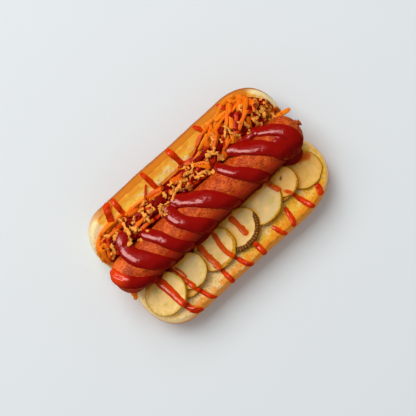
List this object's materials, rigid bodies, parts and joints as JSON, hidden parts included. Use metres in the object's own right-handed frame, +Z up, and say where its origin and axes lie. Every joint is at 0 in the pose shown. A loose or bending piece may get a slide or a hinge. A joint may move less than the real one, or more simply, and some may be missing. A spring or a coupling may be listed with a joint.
{
  "type": "hot dog in a bun",
  "caption": "Hot dog: bun slit and opened like a book, grilled sausage on a bed of shredded carrot and fried onion, pickle slices, ketchup zigzag.",
  "frame": {"origin": "on the flat underside of the bun, below the fold, in the middle of the hot dog", "axes": "+Z up, +X along the sausage towards its twisted end, +Y towards the half of the bun that carries the carrot"},
  "size_m": [0.1741, 0.103, 0.0465],
  "materials": {
    "bun": "matte",
    "sausage": "satin",
    "carrot": "satin",
    "pickle": "gloss",
    "ketchup": "gloss",
    "fried_onion": "matte"
  },
  "bodies": {
    "root": {"bun": "bun", "sausage": "sausage", "carrot_heap": "carrot", "pickle_1": "pickle", "pickle_2": "pickle", "pickle_3": "pickle", "pickle_4": "pickle", "pickle_5": "pickle", "pickle_6": "pickle", "pickle_7": "pickle", "pickle_8": "pickle", "pickle_9": "pickle"}
  },
  "joints": []
}
